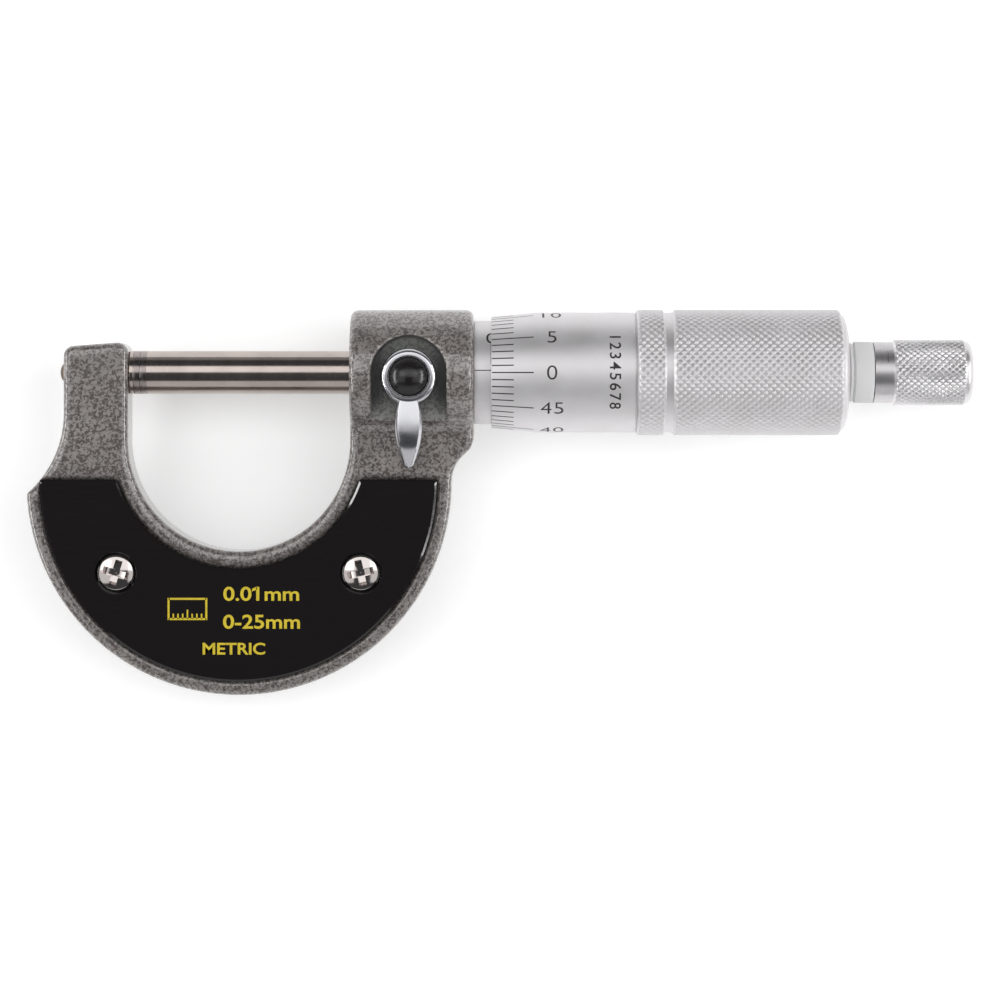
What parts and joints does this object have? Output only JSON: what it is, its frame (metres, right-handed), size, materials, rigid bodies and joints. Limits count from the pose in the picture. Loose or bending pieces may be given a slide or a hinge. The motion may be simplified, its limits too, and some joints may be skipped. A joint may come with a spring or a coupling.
{
  "type": "outside micrometer",
  "caption": "Outside micrometer with a C-shaped frame, graduated sleeve and thimble, spindle lock lever, screwed cover plates and ratchet stop, jaws closed, lying on its back.",
  "frame": {"origin": "middle of the anvil's measuring face", "axes": "+X along the spindle from the anvil to the ratchet, +Y from the bow to the spindle, +Z out of the front cover plate; the tool lies on its back"},
  "size_m": [0.1412, 0.0575, 0.0199],
  "materials": {
    "hammer_paint": "grey hammertone paint",
    "ground_steel": "ground and lapped",
    "carbide": "lapped carbide",
    "black_plate": "gloss black moulding",
    "nickel_screw": "nickel plated",
    "turned_steel": "turned",
    "satin_chrome": "satin chrome plate",
    "bright_chrome": "polished chrome plate",
    "black_button": "gloss black",
    "spring_steel": "drawn wire",
    "brass": "turned"
  },
  "bodies": {
    "frame": {"frame": "hammer_paint", "anvil": "ground_steel", "anvil_tip": "carbide", "front_plate": "black_plate", "back_plate": "black_plate", "front_plate_screws": "nickel_screw", "back_plate_screws": "nickel_screw", "inner_barrel": "turned_steel", "adjusting_nut": "turned_steel"},
    "sleeve": {"sleeve": "satin_chrome"},
    "feed": {"ratchet_spring": "spring_steel"},
    "spindle": {"spindle": "ground_steel", "spindle_tip": "carbide", "thimble": "satin_chrome", "ratchet_stem": "turned_steel", "ratchet_screw": "turned_steel"},
    "ratchet": {"ratchet_cap": "satin_chrome", "ratchet_pawl": "spring_steel"},
    "lock": {"lock_lever": "bright_chrome", "lock_screw": "black_button"},
    "pad": {"lock_pad": "brass"}
  },
  "joints": [
    {"name": "sleeve_zero", "type": "hinge", "parent": "frame", "child": "sleeve", "pos_m": [0.0499, 0, 0], "axis": [1, 0, 0], "range_deg": [-10, 10]},
    {"name": "spindle_feed", "type": "slide", "parent": "frame", "child": "feed", "axis": [1, 0, 0], "range_m": [0, 0.025]},
    {"name": "thimble_turn", "type": "hinge", "parent": "feed", "child": "spindle", "pos_m": [0.0525, 0, 0], "axis": [1, 0, 0], "range_deg": [0, 18001]},
    {"name": "ratchet_turn", "type": "hinge", "parent": "spindle", "child": "ratchet", "pos_m": [0.1097, 0, 0], "axis": [1, 0, 0], "continuous": true},
    {"name": "lock_feed", "type": "slide", "parent": "frame", "child": "pad", "axis": [0, 0, 1], "range_m": [-0.0000622, 0.0000622]},
    {"name": "lock_turn", "type": "hinge", "parent": "pad", "child": "lock", "pos_m": [0.0403, -0.0006, 0.0063], "axis": [0, 0, 1], "range_deg": [-28, 28]}
  ],
  "couplings": [
    {"joint": "thimble_turn", "follows": "spindle_feed", "rad_per_m": 12566},
    {"joint": "lock_turn", "follows": "lock_feed", "rad_per_m": 7854}
  ]
}
